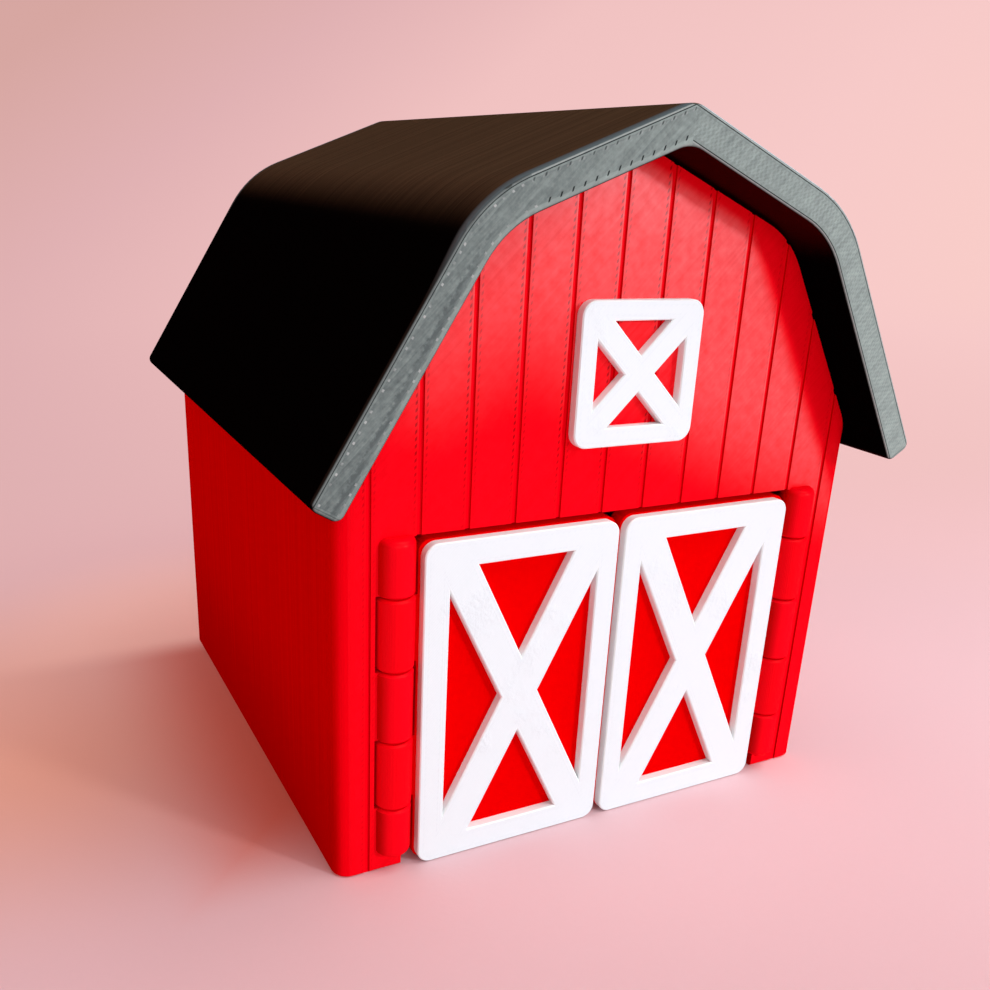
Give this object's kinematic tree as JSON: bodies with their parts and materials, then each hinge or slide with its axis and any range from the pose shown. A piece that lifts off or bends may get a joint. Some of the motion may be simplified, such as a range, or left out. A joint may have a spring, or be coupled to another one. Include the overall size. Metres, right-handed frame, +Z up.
{
  "type": "toy barn with opening doors",
  "caption": "Red toy barn with a gambrel roof and two braced front doors that swing on knuckle hinges.",
  "frame": {"origin": "on the ground, under the middle of the roof's length and width", "axes": "+Z up, the front with the doors looks along -Y, +X to the right as seen from the front"},
  "size_m": [0.1122, 0.1144, 0.1209],
  "materials": {
    "red_plastic": "semi-gloss, with fine printed lines",
    "black_plastic": "satin, with fine printed lines",
    "white_plastic": "satin, with fine printed lines",
    "pin_plastic": "satin filament"
  },
  "bodies": {
    "barn": {"barn_body": "red_plastic", "barn_roof": "black_plastic", "loft_trim": "white_plastic", "left_hinge_pin": "pin_plastic", "right_hinge_pin": "pin_plastic"},
    "left_leaf": {"left_door": "red_plastic", "left_door_trim": "white_plastic"},
    "right_leaf": {"right_door": "red_plastic", "right_door_trim": "white_plastic"}
  },
  "joints": [
    {"name": "left_door_swing", "type": "hinge", "parent": "barn", "child": "left_leaf", "pos_m": [-0.0401, -0.048, 0.03], "axis": [0, 0, -1], "range_deg": [0, 135]},
    {"name": "right_door_swing", "type": "hinge", "parent": "barn", "child": "right_leaf", "pos_m": [0.0401, -0.048, 0.03], "axis": [0, 0, 1], "range_deg": [0, 135]}
  ]
}
